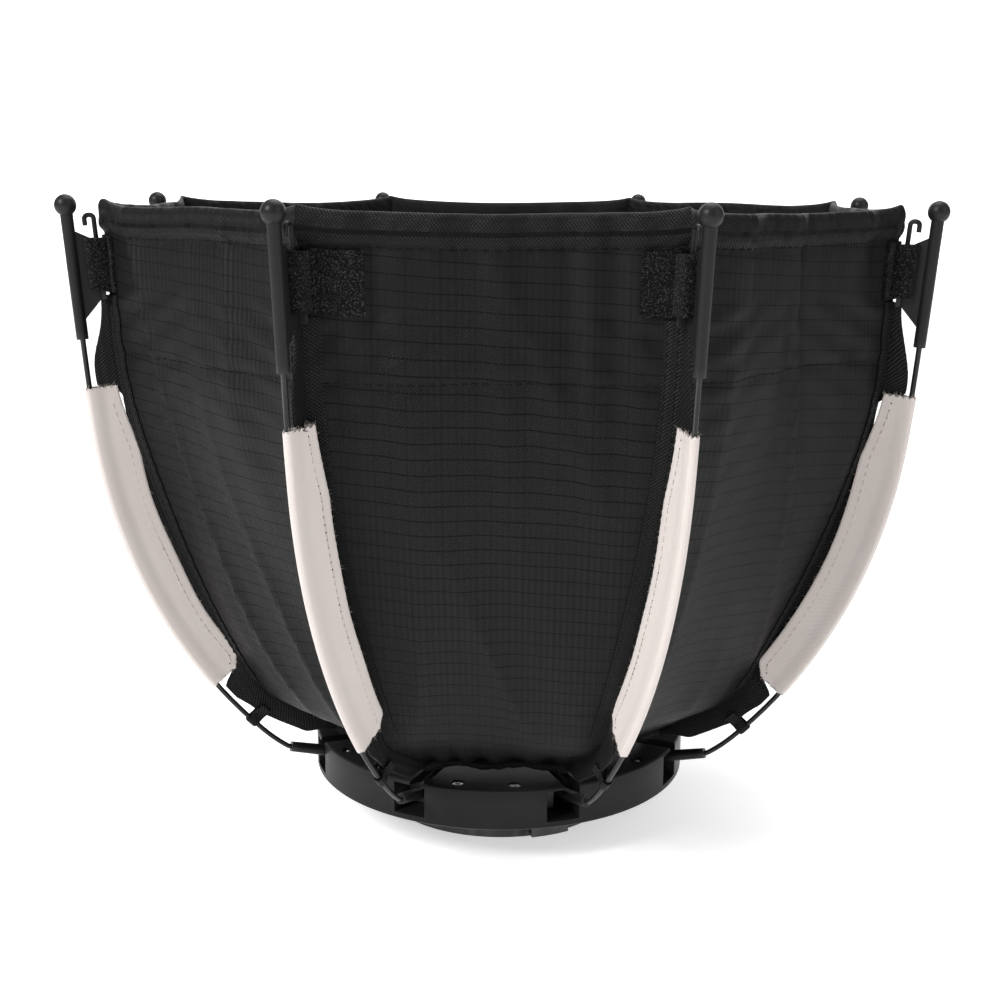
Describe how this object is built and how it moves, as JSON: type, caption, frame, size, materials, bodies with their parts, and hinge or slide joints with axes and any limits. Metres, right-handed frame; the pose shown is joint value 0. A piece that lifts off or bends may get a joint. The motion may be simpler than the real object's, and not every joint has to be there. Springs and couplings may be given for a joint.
{
  "type": "collapsible photographic softbox",
  "caption": "Deep octagonal fabric light bowl on sprung folding ribs, with a twist-lock hub and a bayonet ring underneath.",
  "frame": {"origin": "centre of the bayonet ring's lower face, on the axis of the hub", "axes": "+Z from the bayonet ring towards the mouth; +X through the middle of a bag panel, between two ribs"},
  "size_m": [0.3108, 0.3108, 0.2463],
  "materials": {
    "hub_plastic": "satin moulded black plastic",
    "bayonet_metal": "black anodised ring",
    "screw_steel": "bright steel",
    "carrier_plastic": "matt black plastic",
    "rod_black": "black oxide steel rod",
    "spring_wire": "black coated spring wire",
    "tip_plastic": "satin moulded black plastic",
    "sleeve_twill": "warm light grey twill",
    "bag_nylon": "black ripstop cloth",
    "webbing": "black woven webbing",
    "hook_loop": "black hook-and-loop tape",
    "elastic": "black elastic casing"
  },
  "bodies": {
    "hub": {"hub_base": "hub_plastic", "hub_cover": "hub_plastic", "bayonet_ring": "bayonet_metal", "cover_screws": "screw_steel", "bayonet_screws": "screw_steel"},
    "carrier": {"rib_carrier": "carrier_plastic", "hinge_pins": "screw_steel", "gore_1": "bag_nylon", "gore_2": "bag_nylon", "gore_3": "bag_nylon", "gore_4": "bag_nylon", "gore_5": "bag_nylon", "gore_6": "bag_nylon", "gore_7": "bag_nylon", "gore_8": "bag_nylon", "rim_hem": "bag_nylon", "seam_tapes": "webbing", "loop_straps": "webbing", "base_elastic": "elastic"},
    "rib_1": {"rib_1_socket": "rod_black", "rib_1_wire": "spring_wire", "rib_1_tip": "tip_plastic", "rib_1_sleeve": "sleeve_twill", "rib_1_tab": "hook_loop"},
    "rib_2": {"rib_2_socket": "rod_black", "rib_2_wire": "spring_wire", "rib_2_tip": "tip_plastic", "rib_2_sleeve": "sleeve_twill", "rib_2_tab": "hook_loop"},
    "rib_3": {"rib_3_socket": "rod_black", "rib_3_wire": "spring_wire", "rib_3_tip": "tip_plastic", "rib_3_sleeve": "sleeve_twill", "rib_3_tab": "hook_loop"},
    "rib_4": {"rib_4_socket": "rod_black", "rib_4_wire": "spring_wire", "rib_4_tip": "tip_plastic", "rib_4_sleeve": "sleeve_twill", "rib_4_tab": "hook_loop"},
    "rib_5": {"rib_5_socket": "rod_black", "rib_5_wire": "spring_wire", "rib_5_tip": "tip_plastic", "rib_5_sleeve": "sleeve_twill", "rib_5_tab": "hook_loop"},
    "rib_6": {"rib_6_socket": "rod_black", "rib_6_wire": "spring_wire", "rib_6_tip": "tip_plastic", "rib_6_sleeve": "sleeve_twill", "rib_6_tab": "hook_loop"},
    "rib_7": {"rib_7_socket": "rod_black", "rib_7_wire": "spring_wire", "rib_7_tip": "tip_plastic", "rib_7_sleeve": "sleeve_twill", "rib_7_tab": "hook_loop"},
    "rib_8": {"rib_8_socket": "rod_black", "rib_8_wire": "spring_wire", "rib_8_tip": "tip_plastic", "rib_8_sleeve": "sleeve_twill", "rib_8_tab": "hook_loop"}
  },
  "joints": [
    {"name": "carrier_turn", "type": "hinge", "parent": "hub", "child": "carrier", "pos_m": [0, 0, 0.0232], "axis": [0, 0, 1], "range_deg": [-5.2, 0]},
    {"name": "rib_1_fold", "type": "hinge", "parent": "carrier", "child": "rib_1", "pos_m": [0.05359, 0.0222, 0.0232], "axis": [0.3827, -0.9239, 0], "range_deg": [0, 34], "deforming": ["gore_1", "rib_1_tab", "rim_hem", "seam_tapes", "loop_straps", "base_elastic"]},
    {"name": "rib_2_fold", "type": "hinge", "parent": "carrier", "child": "rib_2", "pos_m": [0.0222, 0.05359, 0.0232], "axis": [0.9239, -0.3827, 0], "range_deg": [0, 34], "deforming": ["gore_2", "rib_2_tab"]},
    {"name": "rib_3_fold", "type": "hinge", "parent": "carrier", "child": "rib_3", "pos_m": [-0.0222, 0.05359, 0.0232], "axis": [0.9239, 0.3827, 0], "range_deg": [0, 34], "deforming": ["gore_3", "rib_3_tab"]},
    {"name": "rib_4_fold", "type": "hinge", "parent": "carrier", "child": "rib_4", "pos_m": [-0.05359, 0.0222, 0.0232], "axis": [0.3827, 0.9239, 0], "range_deg": [0, 34], "deforming": ["gore_4", "rib_4_tab"]},
    {"name": "rib_5_fold", "type": "hinge", "parent": "carrier", "child": "rib_5", "pos_m": [-0.05359, -0.0222, 0.0232], "axis": [-0.3827, 0.9239, 0], "range_deg": [0, 34], "deforming": ["gore_5", "rib_5_tab"]},
    {"name": "rib_6_fold", "type": "hinge", "parent": "carrier", "child": "rib_6", "pos_m": [-0.0222, -0.05359, 0.0232], "axis": [-0.9239, 0.3827, 0], "range_deg": [0, 34], "deforming": ["gore_6", "rib_6_tab"]},
    {"name": "rib_7_fold", "type": "hinge", "parent": "carrier", "child": "rib_7", "pos_m": [0.0222, -0.05359, 0.0232], "axis": [-0.9239, -0.3827, 0], "range_deg": [0, 34], "deforming": ["gore_7", "rib_7_tab"]},
    {"name": "rib_8_fold", "type": "hinge", "parent": "carrier", "child": "rib_8", "pos_m": [0.05359, -0.0222, 0.0232], "axis": [-0.3827, -0.9239, 0], "range_deg": [0, 34], "deforming": ["gore_8", "rib_8_tab"]}
  ]
}
